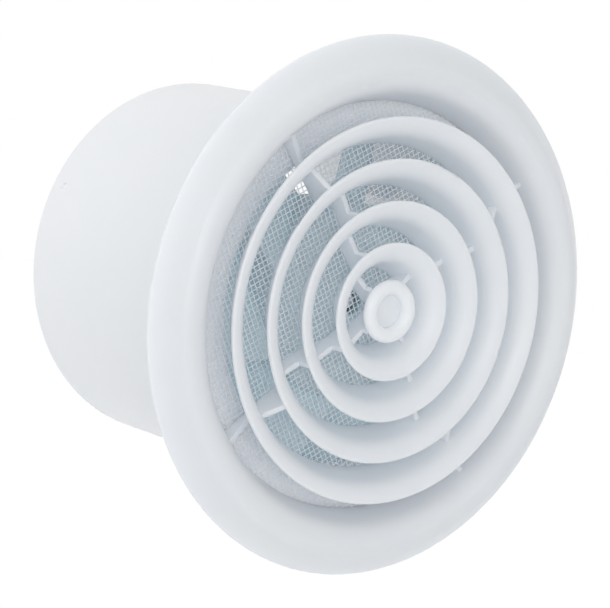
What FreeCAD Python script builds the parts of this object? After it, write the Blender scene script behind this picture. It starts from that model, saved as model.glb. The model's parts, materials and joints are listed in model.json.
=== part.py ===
"""Round axial exhaust fan with a bell-ring grille, an insect screen and a straight duct spigot.

The fan's axis is Y. The grille faces -Y and the spigot runs towards +Y. The origin is on the axis in
the ceiling plane, where the bezel's rim and the back of the housing's flange meet the surface.
Lengths are in millimetres and angles in degrees, measured from +X towards +Z.
"""
import FreeCAD
import Part
import math
import os
from FreeCAD import Vector

# Housing
spigot_diameter = 124.0
tube_wall = 2.0
tube_length = 106.5
end_chamfer = 0.8
recess_wall = 1.5
flange_thickness = 2.0
flange_margin = 5.5
inlet_thickness = 2.0
inlet_lip = 5.2
dimple_diameter = 2.4
dimple_depth = 0.6
dimple_from_end = 7.3
dimple_angle = 163.6

# Holes for the four screws into the ceiling
ceiling_screw_count = 4
ceiling_screw_hole = 4.5
ceiling_screw_inset = 6.0

# Grille
bezel_overhang = 25.5
bezel_wall = 1.8
bevel_angle = 44.0
rim_height = 2.6
rim_setback = 1.4
rim_rounding = 0.6
bell_inset = 10.8
bell_radius = 8.3
bell_crest_angle = 75.0
bell_lip_angle = 78.0
throat_angle = 20.0
lip_height = 11.35
grille_back = 1.6
ring_count = 4
ring_wall = 1.5
ring_setback = 14.4
button_radius = 10.2
button_gap = 12.1
button_rim_radius = 2.4
button_dish_depth = 3.2
button_post_radius = 2.2
rib_count = 4
rib_thickness = 1.6
rib_drop = 6.25
rib_fall = 4.4
rib_angles = [45.0, 45.0, 36.5, 41.5, 53.5]
rib_edges = ["falling", "rising", "stepped", "stepped", "stepped"]
pad_count = 4
pad_height = 3.4
pad_span = 20.0
grille_clearance = 0.2
recess_gap = 0.5

# Insect screen
screen_thickness = 0.4
screen_pitch = 7.2
screen_wire = 0.8
screen_angle = 35.0
screen_border = 2.0
screen_ring_width = 1.8
screen_ring_height = 0.9
screen_clearance = 0.3

# Impeller
impeller_gap = 4.5
tip_gap = 2.5
hub_wall = 1.8
hub_face_thickness = 2.0
hub_depth = 26.3
boss_radius = 6.5
boss_length = 10.0
nose_hole_radius = 4.0
nose_hole_depth = 4.3
blade_count = 7
blade_margin = 0.7
blade_root_depth = 6.0
blade_thickness = 2.0
blade_camber = 2.4
blade_root_stagger = 52.0
blade_tip_stagger = 50.0
blade_rest_angle = 38.0

# Motor
motor_radius = 28.0
motor_gap = 2.2
cover_wall = 1.6
cover_depth = 10.0
cover_nose = 2.5
boss_gap = 1.5
stator_length = 16.0
stator_depth = 14.2
air_gap = 0.4
slot_count = 8
slot_width = 4.6
slot_lip = 1.3
slot_mouth = 1.6
winding_clearance = 0.3
winding_overhang = 6.0
end_ring_length = 2.5
end_ring_width = 4.4
shaft_radius = 2.5
running_clearance = 0.04
bush_wall = 2.5
bush_length = 7.0
bush_seat_wall = 2.0
rear_cap_wall = 1.5
collar_radius = 4.0
collar_clearance = 0.3
clip_thickness = 0.8
clip_width = 0.8
shaft_nose = 1.0

# Motor support and its screws
support_thickness = 3.0
support_overlap = 1.0
arm_count = 4
arm_thickness = 3.0
arm_height = 9.0
arm_angle = 45.0
lug_radius = 4.0
lug_height = 4.0
lug_wall_gap = 0.5
lug_boss_length = 14.0
lug_web = 4.0
bolt_count = 4
screw_radius = 1.5
screw_clearance = 0.15
screw_head_radius = 2.8
screw_head_height = 2.0
screw_socket_radius = 1.2
screw_socket_depth = 1.0
screw_bite = 8.0
pillar_radius = 3.2
pillar_inset = 0.4

# Terminal block on the support's tab
terminal_angle = 0.0
block_width = 26.0
block_depth = 11.0
block_height = 12.0
block_standoff = 5.0
tab_margin = 2.0
pole_count = 3
pole_pitch = 8.0
clamp_radius = 1.9
clamp_bore = 1.2
clamp_inset = 1.0
clamp_seat_gap = 0.1
clamp_screw_radius = 1.0
clamp_screw_head_radius = 1.8
clamp_screw_head_height = 1.5
block_screw_radius = 1.0
block_screw_head_radius = 1.7
block_screw_head_height = 1.3
cover_gap = 0.6
terminal_cover_wall = 1.2
cable_slot_width = 8.0

# Motor leads and the cable inlet
lead_radius = 0.8
lead_hole_gap = 0.3
lead_bend = 2.0
lead_bite = 2.5
inlet_hole_radius = 5.0
inlet_from_end = 20.0
grommet_gap = 0.1
grommet_flange_radius = 7.5
grommet_flange_height = 1.8
grommet_membrane = 0.6
grommet_bore_radius = 3.0
grommet_recess = 0.4

# Radii that follow from the driving sizes
spigot_radius = spigot_diameter / 2
bore_radius = spigot_radius - tube_wall
inlet_radius = bore_radius - inlet_lip
bezel_radius = spigot_radius + bezel_overhang
bell_centre = bezel_radius - bell_inset
rim_back_radius = bezel_radius - rim_setback
lip_angle = math.radians(bell_lip_angle)
cone_angle = math.radians(throat_angle)
crest_angle = math.radians(bell_crest_angle)
ring_middle = bell_radius - ring_wall / 2
bell_y = ring_middle * math.sin(lip_angle) + ring_wall / 2 - lip_height
ring_pitch = (bell_centre - ring_setback - button_radius - button_gap) / (ring_count - 1)
bell_back = bell_radius - bezel_wall
throat_run = grille_back - bell_y + bell_back * math.sin(cone_angle)
throat_outer = bell_centre - bell_back * math.cos(cone_angle) - throat_run * math.tan(cone_angle)
throat_mouth = throat_outer + (grille_back + flange_thickness) * math.tan(cone_angle)
recess_radius = throat_mouth + recess_gap
recess_outer = recess_radius + recess_wall
flange_radius = bezel_radius - flange_margin
ceiling_screw_circle = flange_radius - ceiling_screw_inset
screen_radius = throat_outer
tip_radius = bore_radius - tip_gap
hub_bore = motor_radius + motor_gap
hub_radius = hub_bore + hub_wall
rotor_radius = motor_radius - stator_depth
stator_bore = rotor_radius + air_gap
bolt_circle = motor_radius - pillar_radius - pillar_inset
winding_outer = bolt_circle - pillar_radius - 2 * winding_clearance
slot_inner = stator_bore + slot_lip
bush_radius = shaft_radius + bush_wall
bush_seat_radius = bush_radius + bush_seat_wall
lug_circle = bore_radius - lug_wall_gap - lug_radius
hole_radius = screw_radius + screw_clearance
block_bottom = motor_radius + block_standoff
block_top = block_bottom + block_height
block_level = block_bottom + block_height / 2
tab_half_width = block_width / 2 + tab_margin
lead_level = motor_radius + lead_bend

# Places along the axis, from the ceiling plane towards the duct
screen_back = grille_back + screen_thickness
inlet_front = screen_back + screen_ring_height + screen_clearance
button_floor = button_dish_depth - lip_height
button_shoulder = button_floor + ring_wall
inlet_back = inlet_front + inlet_thickness
hub_front = inlet_back + impeller_gap
hub_back = hub_front + hub_depth
nose_floor = hub_front + nose_hole_depth
boss_back = nose_floor + boss_length
front_seat = boss_back + boss_gap
cover_front = front_seat + cover_nose
stator_front = cover_front + cover_depth
stator_back = stator_front + stator_length
cover_back = stator_back + cover_depth
bush_front_end = front_seat + bush_length
bush_rear_start = cover_back - (bush_length - cover_nose)
rear_seat_back = bush_rear_start + bush_length + rear_cap_wall
plate_back = cover_back + support_thickness
shaft_start = nose_floor - clip_thickness - shaft_nose
shaft_end = bush_rear_start + bush_length - collar_clearance
block_back = plate_back + block_depth
block_middle = plate_back + block_depth / 2
clamp_screw_seat = block_middle + clamp_radius + clamp_seat_gap
lead_exit_y = cover_back - cover_wall - lead_hole_gap - 2 * lead_radius
inlet_hole_y = tube_length - inlet_from_end

FULL = 360.0
AXIS = Vector(0, 1, 0)
ORIGIN = Vector(0, 0, 0)


def at(radius, y):
    """A point of a profile, in the half plane through the axis."""
    return Vector(radius, y, 0)


def polygon(points):
    """A flat face with straight sides."""
    return Part.Face(Part.makePolygon(points + points[:1]))


def spin(face, angle=FULL):
    """A profile turned about the fan's axis."""
    return face.revolve(ORIGIN, AXIS, angle)


def turned(*points):
    """A solid of revolution from (radius, y) corners."""
    return spin(polygon([at(*point) for point in points]))


def tube(inner, outer, start, end):
    """A plain ring about the fan's axis."""
    return turned((inner, start), (outer, start), (outer, end), (inner, end))


def disc(radius, start, end):
    """A plain cylinder on the fan's axis."""
    return Part.makeCylinder(radius, end - start, Vector(0, start, 0), AXIS)


def polar(radius, y, angle):
    """A point at an angle about the axis."""
    turn = math.radians(angle)
    return Vector(radius * math.cos(turn), y, radius * math.sin(turn))


def pin(radius, start, end, circle, angle):
    """A cylinder parallel to the axis, at an angle on a circle."""
    return Part.makeCylinder(radius, end - start, polar(circle, start, angle), AXIS)


def placed(shape, angle):
    """A copy turned about the axis, from +X towards +Z."""
    copy = shape.copy()
    copy.rotate(ORIGIN, AXIS, -angle)
    return copy


def facing(shape):
    """A copy turned from the top to the side of the terminals."""
    return placed(shape, terminal_angle - FULL / 4)


def around(count, first=0.0):
    """Evenly spaced angles about the axis."""
    return [first + FULL * index / count for index in range(count)]


def block(x0, x1, y0, y1, z0, z1):
    """A box between two corners."""
    return Part.makeBox(x1 - x0, y1 - y0, z1 - z0, Vector(x0, y0, z0))


def joined(shapes):
    """One solid from touching pieces, with the seams between them removed."""
    return shapes[0].fuse(shapes[1:]).removeSplitter()


def save(name, *solids):
    """Write one node, as one solid or as a group of separate solids."""
    shape = solids[0] if len(solids) == 1 else Part.makeCompound(list(solids))
    shape.exportStep("parts/" + name + ".step")


def bell_point(centre, radius, angle):
    """A point on a bell's arc, whose tangent is at the given angle from the axis."""
    return at(centre - radius * math.cos(angle), bell_y - radius * math.sin(angle))


def bell_arc(centre, radius, start, end):
    """A stretch of a bell's arc."""
    middle = (start + end) / 2
    stops = [bell_point(centre, radius, angle) for angle in (start, middle, end)]
    return Part.Arc(*stops).toShape()


def line(start, end):
    return Part.LineSegment(start, end).toShape()


def wall_angle(radius, y):
    """The tangent angle of a bell's arc at a level."""
    return math.asin((bell_y - y) / radius)


def wall_point(centre, radius, y):
    """The point of a bell's surface at a level, on its straight throat or on its flare."""
    knee = bell_point(centre, radius, cone_angle)
    if y > knee.y:
        return at(knee.x - (y - knee.y) * math.tan(cone_angle), y)
    return bell_point(centre, radius, wall_angle(radius, y))


def wall_edges(centre, radius, back, front):
    """A bell's surface between two levels: a straight throat, then the flare."""
    knee = bell_point(centre, radius, cone_angle)
    if front >= knee.y:
        return [line(wall_point(centre, radius, back), wall_point(centre, radius, front))]
    tip = wall_angle(radius, front)
    if back <= knee.y:
        return [bell_arc(centre, radius, wall_angle(radius, back), tip)]
    throat = line(wall_point(centre, radius, back), knee)
    return [throat, bell_arc(centre, radius, cone_angle, tip)]


def outline(edges):
    """A flat face inside edges that meet end to end."""
    return Part.Face(Part.Wire(Part.__sortEdges__(edges)))


def corner_arc(before, corner, after, reach):
    """The rounding of a corner, tangent to both of its sides."""
    back = (before - corner).normalize()
    onward = (after - corner).normalize()
    half = back.getAngle(onward) / 2
    inward = (back + onward).normalize()
    middle = corner + inward * (reach / math.cos(half) - reach * math.tan(half))
    return Part.Arc(corner + back * reach, middle, corner + onward * reach).toShape()


def crest_point(centre, radius, angle):
    """A point on the crest's arc, at an angle from the axis towards the rim."""
    return centre + Vector(math.sin(angle), -math.cos(angle), 0) * radius


def crest_arc(centre, radius):
    """The crest's arc, from the end of the bell to the bevel."""
    start = crest_angle - math.pi / 2
    end = math.radians(bevel_angle)
    stops = [crest_point(centre, radius, angle) for angle in (start, (start + end) / 2, end)]
    return Part.Arc(*stops).toShape()


def make_bezel():
    """The bezel: a bell-shaped throat, a rounded crest and a bevelled rim, hollow behind."""
    slope = math.radians(bevel_angle)
    across = crest_point(ORIGIN, 1, slope)
    outward = crest_point(ORIGIN, 1, crest_angle - math.pi / 2)
    bell_middle = at(bell_centre, bell_y)
    rim = at(bezel_radius, -rim_height)
    lean = outward.dot(across)
    crest_radius = ((rim - bell_middle).dot(across) - bell_radius * lean) / (1 - lean)
    centre = bell_middle + outward * (bell_radius - crest_radius)
    bevel_start = crest_point(centre, crest_radius, slope)
    inner_start = crest_point(centre, crest_radius - bezel_wall, slope)
    inner_radius = rim_back_radius - bezel_wall
    inner_end = at(inner_radius, inner_start.y + (inner_radius - inner_start.x) * math.tan(slope))
    rim_back = at(rim_back_radius, 0)
    inner_back = at(inner_radius, 0)
    rounding = corner_arc(bevel_start, rim, rim_back, rim_rounding)
    edges = [
        *wall_edges(bell_centre, bell_radius, grille_back, bell_y - bell_radius * math.sin(crest_angle)),
        *wall_edges(bell_centre, bell_back, grille_back, bell_y - bell_back * math.sin(crest_angle)),
        crest_arc(centre, crest_radius),
        line(bevel_start, rounding.Vertexes[0].Point),
        rounding,
        line(rounding.Vertexes[1].Point, rim_back),
        line(rim_back, inner_back),
        line(inner_back, inner_end),
        line(inner_end, inner_start),
        crest_arc(centre, crest_radius - bezel_wall),
        line(
            wall_point(bell_centre, bell_back, grille_back),
            wall_point(bell_centre, bell_radius, grille_back),
        ),
    ]
    return spin(outline(edges))


def ring_radius(index):
    """The lip radius of a grille ring, counted from the outside, or the button's after the last one."""
    if index == ring_count:
        return button_radius
    return bell_centre - ring_setback - index * ring_pitch


def ring_centre(index):
    """The radius of the centre of a ring's bell arc."""
    return ring_radius(index) + ring_middle * math.cos(lip_angle) - ring_wall / 2


def make_ring(index):
    """One ring: a straight throat that flares to a rounded lip."""
    centre = ring_centre(index)
    inside = bell_radius - ring_wall
    lip = bell_point(centre, ring_middle, lip_angle)
    over = Vector(math.sin(lip_angle), -math.cos(lip_angle), 0) * (ring_wall / 2)
    front_tip = bell_point(centre, bell_radius, lip_angle)
    back_tip = bell_point(centre, inside, lip_angle)
    edges = [
        *wall_edges(centre, bell_radius, grille_back, front_tip.y),
        Part.Arc(front_tip, lip + over, back_tip).toShape(),
        *wall_edges(centre, inside, grille_back, back_tip.y),
        line(wall_point(centre, bell_radius, grille_back), wall_point(centre, inside, grille_back)),
    ]
    return spin(outline(edges))


def make_button():
    """The small dished button in the middle: a rounded rim about a flat floor, on a slim post."""
    ridge = button_radius - button_rim_radius
    rim_level = button_rim_radius - lip_height
    corners = [
        at(ridge - button_rim_radius, rim_level),
        at(ridge - button_rim_radius, button_floor),
        at(0, button_floor),
        at(0, grille_back),
        at(button_post_radius, grille_back),
        at(button_post_radius, button_shoulder),
        at(ridge, button_shoulder),
        at(button_radius, rim_level),
    ]
    edges = [line(a, b) for a, b in zip(corners, corners[1:])]
    edges.append(Part.Arc(corners[-1], at(ridge, -lip_height), corners[0]).toShape())
    return spin(outline(edges))


def rib_ends(gap):
    """The walls' middles where a rib starts and ends: the outer bell's and the inner ring's."""
    outer = bell_centre if gap == 0 else ring_centre(gap - 1)
    outer_middle = bell_radius - (bezel_wall if gap == 0 else ring_wall) / 2
    return outer, outer_middle, ring_centre(gap)


def rib_profile(gap):
    """The outline of a rib in one gap, whose front edge falls, rises or steps up towards the axis."""
    outer, outer_middle, inner = rib_ends(gap)
    front = rib_drop - lip_height
    edges = wall_edges(outer, outer_middle, grille_back, front)
    outer_front = wall_point(outer, outer_middle, front)
    outer_back = wall_point(outer, outer_middle, grille_back)
    lip = bell_point(inner, ring_middle, lip_angle)
    step = at(ring_radius(gap) - ring_wall / 4, front)
    if gap == ring_count:
        under = (button_floor + button_shoulder) / 2
        post = button_post_radius / 2
        corners = [outer_front, step, at(step.x, under), at(post, under), at(post, grille_back), outer_back]
        return outline(edges + [line(a, b) for a, b in zip(corners, corners[1:])])
    end = wall_point(inner, ring_middle, front + rib_fall) if rib_edges[gap] == "falling" else lip
    corners = [outer_front, end]
    if rib_edges[gap] == "stepped":
        corners[1:1] = [step, at(step.x, lip.y)]
    edges += [line(a, b) for a, b in zip(corners, corners[1:])]
    edges += wall_edges(inner, ring_middle, grille_back, end.y)
    edges.append(line(wall_point(inner, ring_middle, grille_back), outer_back))
    return outline(edges)


def make_rib(gap, angle):
    """A thin radial rib, centred on its own plane."""
    face = rib_profile(gap)
    face.translate(Vector(0, 0, -rib_thickness / 2))
    return placed(face.extrude(Vector(0, 0, rib_thickness)), angle)


def make_pad(angle):
    """A pad behind the throat that grips the housing's recess."""
    front = grille_back - pad_height
    outside = recess_radius - grille_clearance
    middle = bell_radius - bezel_wall / 2
    corners = [
        wall_point(bell_centre, middle, front),
        at(outside, front),
        at(outside, grille_back),
        wall_point(bell_centre, middle, grille_back),
    ]
    return placed(spin(polygon(corners), pad_span), angle + pad_span / 2)


def make_front_grille():
    """The whole grille moulding: bezel, rings, ribs, button and grip pads."""
    pieces = [make_bezel(), make_button()]
    pieces += [make_ring(index) for index in range(ring_count)]
    for gap, first in enumerate(rib_angles):
        pieces += [make_rib(gap, angle) for angle in around(rib_count, first)]
    pieces += [make_pad(angle) for angle in around(pad_count)]
    save("front_grille", joined(pieces))


def make_insect_screen():
    """The flat net behind the rings: one face with square gaps, thickened."""
    open_radius = screen_radius - screen_border
    border = Part.Wire(Part.makeCircle(screen_radius, Vector(0, grille_back, 0), AXIS))
    steps = int(open_radius / screen_pitch) + 1
    half = (screen_pitch - screen_wire) / 2
    gaps = []
    for column in range(-steps, steps + 1):
        for row in range(-steps, steps + 1):
            middle = (column * screen_pitch, row * screen_pitch)
            corners = [
                (middle[0] + half * across, middle[1] + half * up)
                for across, up in ((-1, -1), (1, -1), (1, 1), (-1, 1))
            ]
            if max(math.hypot(*corner) for corner in corners) > open_radius:
                continue
            points = [Vector(x, grille_back, z) for x, z in corners]
            gaps.append(Part.makePolygon(points + points[:1]))
    net = Part.Face([border] + gaps).extrude(Vector(0, screen_thickness, 0))
    save("insect_screen", placed(net, screen_angle))


def make_screen_ring():
    """The thin hoop that holds the net's edge against the grille."""
    inner = screen_radius - screen_ring_width
    save("screen_ring", tube(inner, screen_radius, screen_back, screen_back + screen_ring_height))


def make_fan_housing():
    """Flange, recess, inlet plate and spigot in one moulding."""
    nose = inlet_thickness / 2
    corners = [
        at(inlet_radius + nose, inlet_front),
        at(recess_radius, inlet_front),
        at(recess_radius, -flange_thickness),
        at(flange_radius, -flange_thickness),
        at(flange_radius, 0),
        at(recess_outer, 0),
        at(recess_outer, inlet_back),
        at(spigot_radius, inlet_back),
        at(spigot_radius, tube_length - end_chamfer),
        at(spigot_radius - end_chamfer, tube_length),
        at(bore_radius, tube_length),
        at(bore_radius, inlet_back),
        at(inlet_radius + nose, inlet_back),
    ]
    edges = [line(a, b) for a, b in zip(corners, corners[1:])]
    edges.append(Part.Arc(corners[-1], at(inlet_radius, inlet_front + nose), corners[0]).toShape())
    shell = spin(outline(edges))
    bosses = []
    cuts = []
    for angle in around(arm_count, arm_angle):
        start = cover_back - lug_boss_length
        bosses.append(pin(lug_radius, start, cover_back, lug_circle, angle))
        half = lug_web / 2
        web = block(lug_circle, bore_radius + tube_wall / 2, start, cover_back, -half, half)
        bosses.append(placed(web, angle))
        cuts.append(pin(hole_radius, cover_back - screw_bite, cover_back, lug_circle, angle))
    for angle in around(ceiling_screw_count, arm_angle):
        radius = ceiling_screw_hole / 2
        cuts.append(pin(radius, -flange_thickness, 0, ceiling_screw_circle, angle))
    cuts.append(facing(along_z(inlet_hole_radius, 0, inlet_hole_y, bore_radius / 2, spigot_radius)))
    out = polar(1, 0, dimple_angle)
    start = polar(spigot_radius - dimple_depth, tube_length - dimple_from_end, dimple_angle)
    cuts.append(Part.makeCylinder(dimple_diameter / 2, 2 * dimple_depth, start, out))
    save("fan_housing", shell.fuse(bosses).cut(cuts).removeSplitter())


def blade_section(radius):
    """A cambered blade section on the plane at a radius, as a closed outline."""
    length = hub_depth - 2 * blade_margin
    share = (radius - hub_radius) / (tip_radius - hub_radius)
    root_reach = math.tan(math.radians(blade_root_stagger))
    tip_reach = math.tan(math.radians(blade_tip_stagger))
    reach = length / 2 * (root_reach + (tip_reach - root_reach) * share)
    front = hub_front + blade_margin
    size = math.hypot(length, 2 * reach)
    normal = Vector(0, 2 * reach / size, length / size)
    half = normal * (blade_thickness / 2)
    lead = Vector(radius, front, reach)
    trail = Vector(radius, front + length, -reach)
    middle = (lead + trail) * 0.5 - normal * blade_camber
    pressure = Part.Arc(lead + half, middle + half, trail + half).toShape()
    suction = Part.Arc(trail - half, middle - half, lead - half).toShape()
    return Part.Wire([pressure, line(trail + half, trail - half), suction, line(lead - half, lead + half)])


def make_impeller():
    """Cup-shaped hub over the motor, with twisted blades."""
    nose_radius = hub_wall
    hub = turned(
        (nose_hole_radius, hub_front),
        (hub_radius - nose_radius, hub_front),
        (hub_radius, hub_front + nose_radius),
        (hub_radius, hub_back),
        (hub_bore, hub_back),
        (hub_bore, hub_front + hub_face_thickness),
        (boss_radius, hub_front + hub_face_thickness),
        (boss_radius, boss_back),
        (shaft_radius, boss_back),
        (shaft_radius, nose_floor),
        (nose_hole_radius, nose_floor),
    )
    inside = (hub_bore + hub_radius) / 2
    sections = [blade_section(hub_bore - blade_root_depth), blade_section(spigot_radius)]
    loft = Part.makeLoft(sections, True, True)
    band = tube(inside, tip_radius, hub_front, hub_back)
    blade = loft.common(band)
    blade = max(blade.Solids, key=lambda solid: solid.CenterOfMass.x)
    blades = [placed(blade, angle) for angle in around(blade_count, blade_rest_angle)]
    save("impeller", joined([hub] + blades))


def make_motor_shaft():
    save("motor_shaft", disc(shaft_radius, shaft_start, shaft_end))


def make_shaft_clip():
    """The push-on ring that keeps the impeller on its shaft."""
    save("shaft_clip", tube(shaft_radius, shaft_radius + clip_width, nose_floor - clip_thickness, nose_floor))


def make_rotor_core():
    save("rotor_core", tube(shaft_radius, rotor_radius, stator_front, stator_back))


def make_rotor_end_rings():
    """The cast rings at both ends of the rotor cage."""
    outer = rotor_radius - air_gap
    inner = outer - end_ring_width
    front = tube(inner, outer, stator_front - end_ring_length, stator_front)
    rear = tube(inner, outer, stator_back, stator_back + end_ring_length)
    save("rotor_end_rings", front, rear)


def make_thrust_collars():
    """Spacers on the shaft between the rotor and the two bushes."""
    front = tube(shaft_radius, collar_radius, bush_front_end + collar_clearance, stator_front)
    rear = tube(shaft_radius, collar_radius, stator_back, bush_rear_start - collar_clearance)
    save("thrust_collars", front, rear)


def make_bushes():
    """The two sleeve bearings."""
    bore = shaft_radius + running_clearance
    save("front_bush", tube(bore, bush_radius, front_seat, bush_front_end))
    save("rear_bush", tube(bore, bush_radius, bush_rear_start, bush_rear_start + bush_length))


def bolt_angles():
    return around(bolt_count)


def make_motor_front_cover():
    """The motor's front cup, with the front bush's seat and four threaded pillars."""
    inner = motor_radius - cover_wall
    cup = turned(
        (bush_radius, front_seat),
        (bush_seat_radius, front_seat),
        (bush_seat_radius, cover_front),
        (motor_radius, cover_front),
        (motor_radius, stator_front),
        (inner, stator_front),
        (inner, cover_front + cover_wall),
        (bush_seat_radius, cover_front + cover_wall),
        (bush_seat_radius, bush_front_end),
        (bush_radius, bush_front_end),
    )
    pillars = [pin(pillar_radius, cover_front, stator_front, bolt_circle, a) for a in bolt_angles()]
    bores = [
        pin(hole_radius, stator_front - screw_bite, stator_front, bolt_circle, a) for a in bolt_angles()
    ]
    save("motor_front_cover", joined([cup] + pillars).cut(bores))


def lead_places():
    """The X places of the two motor leads, below the outer poles."""
    return [-pole_pitch, pole_pitch]


def make_motor_rear_cover():
    """The motor's rear cup, closed behind the rear bush, with exits for the leads."""
    inner = motor_radius - cover_wall
    inside_back = cover_back - cover_wall
    bush_end = bush_rear_start + bush_length
    cup = turned(
        (inner, stator_back),
        (motor_radius, stator_back),
        (motor_radius, cover_back),
        (bush_seat_radius, cover_back),
        (bush_seat_radius, rear_seat_back),
        (0, rear_seat_back),
        (0, bush_end),
        (bush_radius, bush_end),
        (bush_radius, bush_rear_start),
        (bush_seat_radius, bush_rear_start),
        (bush_seat_radius, inside_back),
        (inner, inside_back),
    )
    pillars = [pin(pillar_radius, stator_back, cover_back, bolt_circle, a) for a in bolt_angles()]
    bores = [pin(hole_radius, stator_back, cover_back, bolt_circle, a) for a in bolt_angles()]
    exits = [
        facing(along_z(lead_radius + lead_hole_gap, x, lead_exit_y, motor_radius / 2, motor_radius))
        for x in lead_places()
    ]
    save("motor_rear_cover", joined([cup] + pillars).cut(bores + exits))


def make_stator_core():
    """The laminated ring, with open slots and four bolt holes."""
    core = tube(stator_bore, motor_radius, stator_front, stator_back)
    cuts = [pin(hole_radius, stator_front, stator_back, bolt_circle, a) for a in bolt_angles()]
    slot = block(slot_inner, winding_outer, stator_front, stator_back, -slot_width / 2, slot_width / 2)
    mouth = block(stator_bore / 2, slot_inner, stator_front, stator_back, -slot_mouth / 2, slot_mouth / 2)
    for angle in around(slot_count, FULL / slot_count / 2):
        cuts.append(placed(slot, angle))
        cuts.append(placed(mouth, angle))
    save("stator_core", core.cut(cuts))


def make_stator_winding():
    """The winding: a bundle in each slot, joined by the end turns in front and behind."""
    inner = slot_inner + winding_clearance
    outer = winding_outer - winding_clearance
    half = slot_width / 2 - winding_clearance
    front = stator_front - winding_clearance
    back = stator_back + winding_clearance
    corner = (outer - inner) / 4
    pieces = []
    for near, far in ((front, front - winding_overhang), (back, back + winding_overhang)):
        shoulder = far + corner if far < near else far - corner
        pieces.append(
            turned(
                (inner, near),
                (outer, near),
                (outer, shoulder),
                (outer - corner, far),
                (inner + corner, far),
                (inner, shoulder),
            )
        )
    reach = math.sqrt(outer ** 2 - half ** 2)
    bar = block(inner, reach, front, back, -half, half)
    pieces += [placed(bar, angle) for angle in around(slot_count, FULL / slot_count / 2)]
    save("stator_winding", joined(pieces))


def socketed(screw, top, circle, angle):
    """A screw with a round socket in its head."""
    socket = pin(screw_socket_radius, top - screw_socket_depth, top, circle, angle)
    return screw.cut(socket).removeSplitter()


def make_motor_bolts():
    """The long screws that hold the covers, the stator and the support together."""
    bolts = []
    for angle in bolt_angles():
        shank = pin(screw_radius, stator_front - screw_bite + screw_clearance, plate_back, bolt_circle, angle)
        head = pin(screw_head_radius, plate_back, plate_back + screw_head_height, bolt_circle, angle)
        bolts.append(socketed(shank.fuse(head), plate_back + screw_head_height, bolt_circle, angle))
    save("motor_bolts", *bolts)


def make_motor_support():
    """The spider behind the motor: a plate, four arms with lugs, and the terminal block's tab."""
    plate = disc(motor_radius + support_overlap, cover_back, plate_back)
    tab = block(-tab_half_width, tab_half_width, cover_back, plate_back, 0, block_top + tab_margin)
    pieces = [plate, facing(tab)]
    vane_end = lug_circle - lug_radius
    vane_start = bush_seat_radius + arm_thickness
    for angle in around(arm_count, arm_angle):
        half = arm_thickness / 2
        vane = block(vane_start, vane_end, cover_back, plate_back + arm_height, -half, half)
        foot = block(vane_end, lug_circle, cover_back, cover_back + lug_height, -half, half)
        lug = pin(lug_radius, cover_back, cover_back + lug_height, lug_circle, angle)
        pieces += [placed(vane, angle), placed(foot, angle), lug]
    spider = joined(pieces)
    cuts = [disc(bush_seat_radius + arm_thickness / 2, cover_back - lug_height, block_back)]
    cuts += [pin(hole_radius, cover_back, plate_back, bolt_circle, a) for a in bolt_angles()]
    lug_back = cover_back + lug_height
    cuts += [pin(hole_radius, cover_back, lug_back, lug_circle, a) for a in around(arm_count, arm_angle)]
    for x in lead_places():
        start = Vector(x, cover_back - lug_height, lead_level)
        cuts.append(facing(Part.makeCylinder(lead_radius + lead_hole_gap, block_depth, start, AXIS)))
    for x in block_screw_places():
        radius = block_screw_radius + screw_clearance
        cuts.append(facing(along_y(radius, x, cover_back, plate_back, block_level)))
    save("motor_support", spider.cut(cuts).removeSplitter())


def make_support_screws():
    """The four screws through the support's lugs into the housing's bosses."""
    seat = cover_back + lug_height
    screws = []
    for angle in around(arm_count, arm_angle):
        shank = pin(screw_radius, cover_back - screw_bite + screw_clearance, seat, lug_circle, angle)
        head = pin(screw_head_radius, seat, seat + screw_head_height, lug_circle, angle)
        screws.append(socketed(shank.fuse(head), seat + screw_head_height, lug_circle, angle))
    save("support_screws", *screws)


def pole_places():
    """The X places of the terminal block's poles."""
    return [pole_pitch * (index - (pole_count - 1) / 2) for index in range(pole_count)]


def block_screw_places():
    """The X places of the block's own two screws, halfway between the poles."""
    return [-pole_pitch / 2, pole_pitch / 2]


def along_y(radius, x, start, end, z):
    return Part.makeCylinder(radius, end - start, Vector(x, start, z), AXIS)


def along_z(radius, x, y, start, end):
    return Part.makeCylinder(radius, end - start, Vector(x, y, start), Vector(0, 0, 1))


def make_terminal_block():
    """The insulating body, bored for the clamps, their screws and its own fixing screws."""
    half = block_width / 2
    body = block(-half, half, plate_back, block_back, block_bottom, block_top)
    cuts = []
    for x in pole_places():
        cuts.append(along_z(clamp_radius + clamp_seat_gap, x, block_middle, block_bottom, block_top))
        well = clamp_screw_head_radius + clamp_seat_gap
        cuts.append(along_y(well, x, block_middle, block_back, block_level))
    head_seat = block_back - block_screw_head_height
    for x in block_screw_places():
        cuts.append(along_y(block_screw_radius + screw_clearance, x, plate_back, block_back, block_level))
        cuts.append(along_y(block_screw_head_radius + clamp_seat_gap, x, head_seat, block_back, block_level))
    save("terminal_block", facing(body.cut(cuts)))


def make_terminal_clamps():
    """The brass tubes that take the wires."""
    clamps = []
    for x in pole_places():
        sleeve = along_z(clamp_radius, x, block_middle, block_bottom + clamp_inset, block_top - clamp_inset)
        bore = along_z(clamp_bore, x, block_middle, block_bottom, block_top)
        entry = along_y(clamp_screw_radius + clamp_seat_gap, x, block_middle, block_back, block_level)
        clamps.append(facing(sleeve.cut([bore, entry])))
    save("terminal_clamps", *clamps)


def make_terminal_screws():
    """The clamp screws, one for each pole."""
    screws = []
    for x in pole_places():
        shank = along_y(clamp_screw_radius, x, block_middle + clamp_bore / 2, clamp_screw_seat, block_level)
        head_end = clamp_screw_seat + clamp_screw_head_height
        head = along_y(clamp_screw_head_radius, x, clamp_screw_seat, head_end, block_level)
        screws.append(facing(shank.fuse(head).removeSplitter()))
    save("terminal_screws", *screws)


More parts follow.
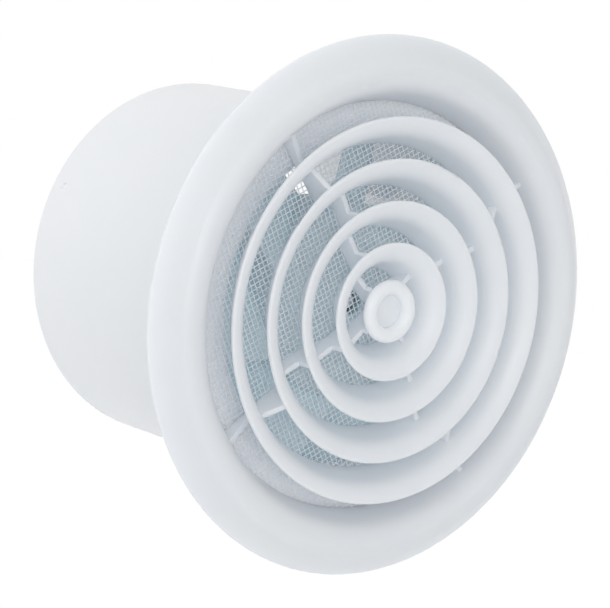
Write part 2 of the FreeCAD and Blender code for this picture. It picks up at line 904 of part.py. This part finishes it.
def make_terminal_block_screws():
    """The two screws that hold the block on the support's tab."""
    seat = block_back - block_screw_head_height
    screws = []
    for x in block_screw_places():
        shank = along_y(block_screw_radius, x, cover_back, seat, block_level)
        head = along_y(block_screw_head_radius, x, seat, block_back, block_level)
        screws.append(facing(shank.fuse(head).removeSplitter()))
    save("terminal_block_screws", *screws)


def make_terminal_cover():
    """The cap over the terminal block, with a slot for the supply and exits for the leads."""
    inner = block_width / 2 + cover_gap
    outer = inner + terminal_cover_wall
    low = block_bottom - cover_gap
    high = block_top + cover_gap
    back = block_back + cover_gap
    shell = block(-outer, outer, plate_back, back + terminal_cover_wall, low - terminal_cover_wall,
                  high + terminal_cover_wall)
    cavity = block(-inner, inner, plate_back, back, low, high)
    slot = block(-cable_slot_width / 2, cable_slot_width / 2, plate_back, block_middle + clamp_radius,
                 block_level, high + 2 * terminal_cover_wall)
    exits = []
    for x in lead_places():
        gap = lead_radius + lead_hole_gap
        below = low - 2 * terminal_cover_wall
        exits.append(block(x - gap, x + gap, plate_back, block_middle + gap, below, low))
    save("terminal_cover", facing(shell.cut([cavity, slot] + exits)))


def make_motor_leads():
    """The two leads from the winding's exits, through the tab and up into the clamps."""
    leads = []
    quarter = math.radians(45)
    slack = lead_bend * (1 - math.cos(quarter))
    reach = lead_bend * math.sin(quarter)
    start_z = math.sqrt((motor_radius - cover_wall) ** 2 - pole_pitch ** 2) - lead_bite
    for x in lead_places():
        first_y = lead_exit_y
        last_y = block_middle
        bend_start = Vector(x, first_y, lead_level - lead_bend)
        bend_middle = Vector(x, first_y + slack, lead_level - lead_bend + reach)
        bend_end = Vector(x, first_y + lead_bend, lead_level)
        rise_start = Vector(x, last_y - lead_bend, lead_level)
        rise_middle = Vector(x, last_y - lead_bend + reach, lead_level + slack)
        rise_end = Vector(x, last_y, lead_level + lead_bend)
        start = Vector(x, first_y, start_z)
        end = Vector(x, last_y, block_bottom + clamp_inset + lead_bite)
        path = Part.Wire(
            [
                line(start, bend_start),
                Part.Arc(bend_start, bend_middle, bend_end).toShape(),
                line(bend_end, rise_start),
                Part.Arc(rise_start, rise_middle, rise_end).toShape(),
                line(rise_end, end),
            ]
        )
        section = Part.Wire(Part.makeCircle(lead_radius, start, Vector(0, 0, 1)))
        leads.append(facing(path.makePipeShell([section], True, False)))
    save("motor_leads", *leads)


def make_cable_grommet():
    """The rubber grommet of the cable inlet, closed by a thin membrane."""
    stem_radius = inlet_hole_radius - grommet_gap
    top = math.sqrt(spigot_radius ** 2 - stem_radius ** 2) - grommet_recess
    flange_top = math.sqrt(bore_radius ** 2 - grommet_flange_radius ** 2) - grommet_gap
    flange_bottom = flange_top - grommet_flange_height
    stem = along_z(stem_radius, 0, inlet_hole_y, flange_bottom, top)
    flange = along_z(grommet_flange_radius, 0, inlet_hole_y, flange_bottom, flange_top)
    upper = along_z(grommet_bore_radius, 0, inlet_hole_y, flange_top + grommet_membrane, top)
    lower = along_z(grommet_bore_radius, 0, inlet_hole_y, flange_bottom, flange_top)
    save("cable_grommet", facing(stem.fuse(flange).cut([upper, lower]).removeSplitter()))


os.makedirs("parts", exist_ok=True)
make_front_grille()
make_insect_screen()
make_screen_ring()
make_fan_housing()
make_impeller()
make_motor_shaft()
make_shaft_clip()
make_rotor_core()
make_rotor_end_rings()
make_thrust_collars()
make_bushes()
make_motor_front_cover()
make_motor_rear_cover()
make_stator_core()
make_stator_winding()
make_motor_bolts()
make_motor_support()
make_support_screws()
make_terminal_block()
make_terminal_clamps()
make_terminal_screws()
make_terminal_block_screws()
make_terminal_cover()
make_motor_leads()
make_cable_grommet()
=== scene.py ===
"""Looks of the round exhaust fan: its pieces' finishes, its woven net, the studio's light and the camera."""
import json
import math

import bpy
from mathutils import Matrix, Vector


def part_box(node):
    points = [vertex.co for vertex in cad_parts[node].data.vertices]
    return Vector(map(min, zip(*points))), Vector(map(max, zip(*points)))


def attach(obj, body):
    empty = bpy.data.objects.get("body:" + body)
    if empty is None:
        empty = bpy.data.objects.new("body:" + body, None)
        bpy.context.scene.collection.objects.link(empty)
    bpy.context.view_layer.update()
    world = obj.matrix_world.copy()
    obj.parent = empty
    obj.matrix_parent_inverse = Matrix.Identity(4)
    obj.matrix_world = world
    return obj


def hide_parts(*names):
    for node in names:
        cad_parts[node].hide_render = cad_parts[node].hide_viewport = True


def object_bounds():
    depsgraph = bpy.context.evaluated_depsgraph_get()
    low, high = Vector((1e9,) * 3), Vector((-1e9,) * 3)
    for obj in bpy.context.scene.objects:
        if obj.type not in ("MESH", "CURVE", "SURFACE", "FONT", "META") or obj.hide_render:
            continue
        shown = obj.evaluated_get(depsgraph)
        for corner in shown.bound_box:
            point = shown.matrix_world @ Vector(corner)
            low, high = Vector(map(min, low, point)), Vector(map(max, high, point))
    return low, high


MM = 0.001

# Camera, from the bezel's and the rings' outlines: its place, where it looks, its roll and its lens
CAMERA_PLACE = Vector((-0.5141, -0.6135, 0.0333))
CAMERA_FORWARD = Vector((0.62138, 0.78217, -0.04578))
CAMERA_ROLL = math.radians(11.54)
CAMERA_LENS = 147.54
CAMERA_SENSOR = 36.0
CAMERA_NEAR = 0.01

# Floor, well below the fan, with a glow where it shows directly
FLOOR_DROP = 0.28
FLOOR_SIZE = 12.0
FLOOR_COLOUR = (0.9, 0.9, 0.9, 1.0)
FLOOR_ROUGHNESS = 0.9
FLOOR_GLOW = 0.35

# Light from all round, a little stronger from behind and the left
BACKGROUND = (1.0, 1.0, 1.0, 1.0)
WORLD_COLOUR = (0.965, 0.988, 1.015, 1.0)
WORLD_STRENGTH = 0.73
BACKDROP_SIDE = (-0.5, 0.86, 0.0)
BACKDROP_EXTRA = 0.22
DIFFUSE_BOUNCES = 12

# Lamps: name, place, width in metres and power in watts
LAMPS = [
    ("key", (-1.3, -0.2, 1.0), 1.2, 2.0),
    ("fill", (-0.75, -1.3, 0.25), 1.0, 4.2),
]

# The stretch of a texture's values over which tone and gloss drift
DRIFT_LOW = 0.3
DRIFT_HIGH = 0.7

# Moulded plastics: how far light soaks in, their slow drift in tone, uneven gloss and fine mould grain
PLASTIC_SOAK = 3.0 * MM
PLASTIC_TONE_SCALE = 22.0
PLASTIC_DARK = 0.97
PLASTIC_GLOSS_SCALE = 160.0
PLASTIC_GLOSS = (-0.05, 0.07)
PLASTIC_GRAIN_SCALE = 1400.0
PLASTIC_GRAIN = (0.35, 0.02 * MM)
NET_GRAIN_SCALE = 4000.0

# Bare metals: fine drawn or turned marks
METAL_MARK_SCALE = 900.0
METAL_MARK_DETAIL = 4.0
METAL_DARK = 0.8
METAL_GLOSS = (-0.08, 0.12)
METAL_RELIEF = (0.3, 0.03 * MM)
COVER_MARK_SCALE = 500.0
COVER_DARK = 0.88

# Stacked sheets and wound wire: dark seams, a little uneven
SEAM_DARK = 0.45
SEAM_WANDER = 0.6
SEAM_GLOSS_SCALE = 600.0
SEAM_GLOSS = (-0.08, 0.1)
SEAM_RELIEF = (0.5, 0.1 * MM)
SEAM_METALLIC = 0.85
SHEET_PITCH = 0.5 * MM
WIRE_PITCH = 0.4 * MM

# Rubber and sheaths: a dull, finely pitted skin
RUBBER_TONE_SCALE = 300.0
RUBBER_DARK = 0.8
RUBBER_GLOSS_SCALE = 800.0
RUBBER_GLOSS = (-0.08, 0.1)
RUBBER_PIT_SCALE = 2500.0
RUBBER_PITS = (0.4, 0.04 * MM)

# Woven net behind the rings: thread spacing, thread radius, how far threads weave, and their direction
NET_PITCH = 1.7 * MM
NET_STEP = NET_PITCH / 2
NET_WIRE = 0.19 * MM
NET_WEAVE = 0.09 * MM
NET_ANGLE = math.radians(35)
NET_SIDES = 6
NET_EDGE = 0.4 * MM


def new_material(name):
    """A new material, with its shader and the object's own coordinates."""
    material = bpy.data.materials.new(name)
    material.use_nodes = True
    nodes = material.node_tree.nodes
    shader = nodes["Principled BSDF"]
    place = nodes.new("ShaderNodeTexCoord")
    return material, shader, place


def link(material, source, target):
    material.node_tree.links.new(source, target)


def noise(material, place, scale, detail=3.0, stretch=None):
    """A noise texture in the object's own metres, stretched along an axis where asked."""
    nodes = material.node_tree.nodes
    texture = nodes.new("ShaderNodeTexNoise")
    texture.inputs["Scale"].default_value = scale
    texture.inputs["Detail"].default_value = detail
    source = place.outputs["Object"]
    if stretch:
        mapping = nodes.new("ShaderNodeMapping")
        mapping.inputs["Scale"].default_value = stretch
        link(material, source, mapping.inputs["Vector"])
        source = mapping.outputs["Vector"]
    link(material, source, texture.inputs["Vector"])
    return texture


def tint(material, shader, texture, colour, dark):
    """Colour that drifts between a darker tone and the colour itself."""
    ramp = material.node_tree.nodes.new("ShaderNodeValToRGB")
    ramp.color_ramp.elements[0].position = DRIFT_LOW
    ramp.color_ramp.elements[0].color = (*(channel * dark for channel in colour), 1)
    ramp.color_ramp.elements[1].position = DRIFT_HIGH
    ramp.color_ramp.elements[1].color = (*colour, 1)
    link(material, texture.outputs["Fac"], ramp.inputs["Fac"])
    link(material, ramp.outputs["Color"], shader.inputs["Base Color"])


def gloss(material, shader, texture, rough, spread):
    """Roughness that drifts a little below and above its middle value."""
    drift = material.node_tree.nodes.new("ShaderNodeMapRange")
    drift.inputs["From Min"].default_value = DRIFT_LOW
    drift.inputs["From Max"].default_value = DRIFT_HIGH
    drift.inputs["To Min"].default_value = rough + spread[0]
    drift.inputs["To Max"].default_value = rough + spread[1]
    link(material, texture.outputs["Fac"], drift.inputs["Value"])
    link(material, drift.outputs["Result"], shader.inputs["Roughness"])


def relief(material, shader, texture, bumps):
    """Fine bumps of the surface: their strength, and their depth in metres."""
    bump = material.node_tree.nodes.new("ShaderNodeBump")
    bump.inputs["Strength"].default_value = bumps[0]
    bump.inputs["Distance"].default_value = bumps[1]
    link(material, texture.outputs["Fac"], bump.inputs["Height"])
    link(material, bump.outputs["Normal"], shader.inputs["Normal"])


def plastic(name, colour, rough, grain=PLASTIC_GRAIN_SCALE, soak=0.0):
    """Moulded plastic: fine mould grain, a slow drift in tone, uneven gloss and light that soaks in."""
    material, shader, place = new_material(name)
    tint(material, shader, noise(material, place, PLASTIC_TONE_SCALE), colour, PLASTIC_DARK)
    gloss(material, shader, noise(material, place, PLASTIC_GLOSS_SCALE), rough, PLASTIC_GLOSS)
    relief(material, shader, noise(material, place, grain), PLASTIC_GRAIN)
    shader.inputs["Subsurface Weight"].default_value = 1.0 if soak else 0.0
    shader.inputs["Subsurface Radius"].default_value = (1.0, 1.0, 1.0)
    shader.inputs["Subsurface Scale"].default_value = soak
    return material


def metal(name, colour, rough, stretch, scale=METAL_MARK_SCALE, dark=METAL_DARK):
    """Bare metal with fine drawn or turned marks along one axis."""
    material, shader, place = new_material(name)
    marks = noise(material, place, scale, METAL_MARK_DETAIL, stretch)
    tint(material, shader, marks, colour, dark)
    gloss(material, shader, marks, rough, METAL_GLOSS)
    relief(material, shader, marks, METAL_RELIEF)
    shader.inputs["Metallic"].default_value = 1.0
    return material


def striped_metal(name, colour, rough, pitch):
    """Stacked sheets or wound wire: thin dark seams across the fan's axis."""
    material, shader, place = new_material(name)
    wave = material.node_tree.nodes.new("ShaderNodeTexWave")
    wave.wave_type = "BANDS"
    wave.bands_direction = "Y"
    # At a scale of 1 the bands are pi / 10 m apart
    wave.inputs["Scale"].default_value = math.pi / (10 * pitch)
    wave.inputs["Distortion"].default_value = SEAM_WANDER
    link(material, place.outputs["Object"], wave.inputs["Vector"])
    tint(material, shader, wave, colour, SEAM_DARK)
    gloss(material, shader, noise(material, place, SEAM_GLOSS_SCALE), rough, SEAM_GLOSS)
    relief(material, shader, wave, SEAM_RELIEF)
    shader.inputs["Metallic"].default_value = SEAM_METALLIC
    return material


def rubber(name, colour, rough):
    """Soft rubber or sheath with a dull, finely pitted skin."""
    material, shader, place = new_material(name)
    tint(material, shader, noise(material, place, RUBBER_TONE_SCALE), colour, RUBBER_DARK)
    gloss(material, shader, noise(material, place, RUBBER_GLOSS_SCALE), rough, RUBBER_GLOSS)
    relief(material, shader, noise(material, place, RUBBER_PIT_SCALE), RUBBER_PITS)
    return material


def make_materials():
    """One finish for each material slot of the part: its colour, its roughness and its marks."""
    return {
        "white_gloss": plastic("white_gloss", (0.895, 0.915, 0.945), 0.34, soak=PLASTIC_SOAK),
        "housing_white": plastic("housing_white", (0.93, 0.95, 0.975), 0.38, soak=PLASTIC_SOAK),
        "screen_net": plastic("screen_net", (0.95, 0.96, 0.97), 0.5, NET_GRAIN_SCALE),
        "impeller_plastic": plastic("impeller_plastic", (0.80, 0.93, 0.985), 0.42, soak=PLASTIC_SOAK),
        "support_plastic": plastic("support_plastic", (0.80, 0.81, 0.82), 0.45),
        "terminal_plastic": plastic("terminal_plastic", (0.76, 0.75, 0.69), 0.5),
        "steel": metal("steel", (0.62, 0.63, 0.65), 0.3, (1, 0.1, 1)),
        "dark_steel": metal("dark_steel", (0.06, 0.06, 0.07), 0.4, (1, 1, 0.2)),
        "lamination_steel": striped_metal("lamination_steel", (0.42, 0.43, 0.45), 0.42, SHEET_PITCH),
        "cast_aluminium": metal("cast_aluminium", (0.72, 0.72, 0.74), 0.45, (1, 1, 1)),
        "cover_metal": metal("cover_metal", (0.66, 0.67, 0.69), 0.36, (1, 0.15, 1), COVER_MARK_SCALE, COVER_DARK),
        "brass": metal("brass", (0.76, 0.58, 0.28), 0.3, (1, 0.1, 1)),
        "bronze": metal("bronze", (0.55, 0.37, 0.19), 0.5, (1, 1, 1)),
        "copper": striped_metal("copper", (0.72, 0.33, 0.16), 0.38, WIRE_PITCH),
        "lead_sheath": rubber("lead_sheath", (0.08, 0.16, 0.45), 0.45),
        "black_rubber": rubber("black_rubber", (0.03, 0.03, 0.032), 0.6),
    }


def paint_nodes(frame, materials):
    """Each carried-over solid gets its slot's finish."""
    for part in frame["record"]["subparts"]:
        node = frame["nodes"][part["node"]]
        node.data.materials.clear()
        node.data.materials.append(materials[part["material_slot"]])
        for face in node.data.polygons:
            face.material_index = 0


def net_point(along, across, turned, level):
    """A point of the net's plane, from its own thread directions to the fan's frame."""
    x, z = (across, along) if turned else (along, across)
    cosine, sine = math.cos(NET_ANGLE), math.sin(NET_ANGLE)
    return Vector((x * cosine - z * sine, level, x * sine + z * cosine))


def net_thread(index, turned, radius, level, points, faces):
    """One woven thread, as a thin tube that goes over and under the threads that it crosses."""
    across = index * NET_PITCH
    half = math.sqrt(radius ** 2 - across ** 2)
    steps = max(2, int(2 * half / NET_STEP))
    side = 1 if turned else -1
    first = len(points)
    for step in range(steps + 1):
        along = -half + 2 * half * step / steps
        phase = math.pi * (along / NET_PITCH + index)
        middle = level + side * NET_WEAVE * math.cos(phase)
        for corner in range(NET_SIDES):
            turn = 2 * math.pi * corner / NET_SIDES
            offset = NET_WIRE * math.cos(turn)
            points.append(net_point(along, across + offset, turned, middle + NET_WIRE * math.sin(turn)))
    for step in range(steps):
        low = first + step * NET_SIDES
        for corner in range(NET_SIDES):
            after = (corner + 1) % NET_SIDES
            faces.append((low + corner, low + after, low + NET_SIDES + after, low + NET_SIDES + corner))
    last = first + steps * NET_SIDES
    faces.append(tuple(first + corner for corner in reversed(range(NET_SIDES))))
    faces.append(tuple(last + corner for corner in range(NET_SIDES)))


def make_net(materials):
    """The fine woven net that stands for the coarse one of the solids."""
    low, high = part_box("insect_screen")
    radius = (high.x - low.x) / 2 - NET_EDGE
    level = low.y + NET_WIRE + NET_WEAVE
    count = int(radius / NET_PITCH)
    points, faces = [], []
    for turned in (False, True):
        for index in range(-count, count + 1):
            net_thread(index, turned, radius, level, points, faces)
    mesh = bpy.data.meshes.new("woven_net")
    mesh.from_pydata(points, [], faces)
    mesh.update()
    mesh.shade_smooth()
    net = bpy.data.objects.new("woven_net", mesh)
    bpy.context.scene.collection.objects.link(net)
    net.data.materials.append(materials["screen_net"])
    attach(net, "grille")
    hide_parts("insect_screen")


def seen_directly(tree):
    """1 for rays that show the background itself: from the camera, off gloss or through glass."""
    rays = tree.nodes.new("ShaderNodeLightPath")
    total = rays.outputs["Is Camera Ray"]
    for name in ("Is Glossy Ray", "Is Transmission Ray"):
        either = tree.nodes.new("ShaderNodeMath")
        either.operation = "MAXIMUM"
        tree.links.new(total, either.inputs[0])
        tree.links.new(rays.outputs[name], either.inputs[1])
        total = either.outputs["Value"]
    return total


def make_floor():
    """A plain pale floor well below the fan, with a glow where it shows that leaves the shadow on it."""
    material = bpy.data.materials.new("floor")
    material.use_nodes = True
    nodes = material.node_tree.nodes
    shader = nodes["Principled BSDF"]
    shader.inputs["Base Color"].default_value = FLOOR_COLOUR
    shader.inputs["Roughness"].default_value = FLOOR_ROUGHNESS
    shader.inputs["Emission Color"].default_value = BACKGROUND
    glow = nodes.new("ShaderNodeMath")
    glow.operation = "MULTIPLY"
    glow.inputs[1].default_value = FLOOR_GLOW
    link(material, seen_directly(material.node_tree), glow.inputs[0])
    link(material, glow.outputs["Value"], shader.inputs["Emission Strength"])
    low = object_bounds()[0]
    bpy.ops.mesh.primitive_plane_add(size=FLOOR_SIZE, location=(0, 0, low.z - FLOOR_DROP))
    floor = bpy.context.object
    floor.name = "floor"
    floor.data.materials.append(material)


def make_world():
    """Soft light, a little stronger from one side, with white where the background itself shows."""
    world = bpy.data.worlds.new("studio")
    bpy.context.scene.world = world
    world.use_nodes = True
    nodes = world.node_tree.nodes
    links = world.node_tree.links
    soft = nodes["Background"]
    soft.inputs["Color"].default_value = WORLD_COLOUR
    place = nodes.new("ShaderNodeTexCoord")
    behind = nodes.new("ShaderNodeVectorMath")
    behind.operation = "DOT_PRODUCT"
    behind.inputs[1].default_value = BACKDROP_SIDE
    strength = nodes.new("ShaderNodeMath")
    strength.operation = "MULTIPLY_ADD"
    strength.inputs[1].default_value = BACKDROP_EXTRA
    strength.inputs[2].default_value = WORLD_STRENGTH
    links.new(place.outputs["Generated"], behind.inputs[0])
    links.new(behind.outputs["Value"], strength.inputs[0])
    links.new(strength.outputs["Value"], soft.inputs["Strength"])
    backdrop = nodes.new("ShaderNodeBackground")
    backdrop.inputs["Color"].default_value = BACKGROUND
    mix = nodes.new("ShaderNodeMixShader")
    links.new(seen_directly(world.node_tree), mix.inputs["Fac"])
    links.new(soft.outputs["Background"], mix.inputs[1])
    links.new(backdrop.outputs["Background"], mix.inputs[2])
    links.new(mix.outputs["Shader"], nodes["World Output"].inputs["Surface"])


def make_lamps():
    """Large soft lamps aimed at the fan."""
    for name, place, size, power in LAMPS:
        data = bpy.data.lights.new(name, "AREA")
        data.shape = "DISK"
        data.size = size
        data.energy = power
        lamp = bpy.data.objects.new(name, data)
        lamp.location = place
        lamp.rotation_euler = (-Vector(place)).to_track_quat("-Z", "Y").to_euler()
        bpy.context.scene.collection.objects.link(lamp)


def make_camera():
    """The photograph's view."""
    data = bpy.data.cameras.new("camera")
    data.lens = CAMERA_LENS
    data.sensor_width = CAMERA_SENSOR
    data.clip_start = CAMERA_NEAR
    camera = bpy.data.objects.new("camera", data)
    bpy.context.scene.collection.objects.link(camera)
    forward = CAMERA_FORWARD.normalized()
    level = forward.cross(Vector((0, 0, 1))).normalized()
    upright = level.cross(forward)
    right = math.cos(CAMERA_ROLL) * level + math.sin(CAMERA_ROLL) * upright
    up = math.cos(CAMERA_ROLL) * upright - math.sin(CAMERA_ROLL) * level
    turn = Matrix((right, up, -forward)).transposed()
    camera.matrix_world = Matrix.Translation(CAMERA_PLACE) @ turn.to_4x4()
    bpy.context.scene.camera = camera


with open("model.json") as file:
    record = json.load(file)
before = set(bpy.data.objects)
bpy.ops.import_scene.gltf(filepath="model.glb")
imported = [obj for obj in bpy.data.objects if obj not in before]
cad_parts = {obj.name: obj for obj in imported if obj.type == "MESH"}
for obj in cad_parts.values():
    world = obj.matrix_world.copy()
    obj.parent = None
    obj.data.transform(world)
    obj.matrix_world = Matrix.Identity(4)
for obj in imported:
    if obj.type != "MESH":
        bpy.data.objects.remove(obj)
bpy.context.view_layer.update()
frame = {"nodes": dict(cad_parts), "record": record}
bpy.context.scene.view_settings.view_transform = "Standard"
bpy.context.scene.cycles.diffuse_bounces = DIFFUSE_BOUNCES
make_camera()
finishes = make_materials()
paint_nodes(frame, finishes)
make_net(finishes)
make_world()
make_lamps()
make_floor()
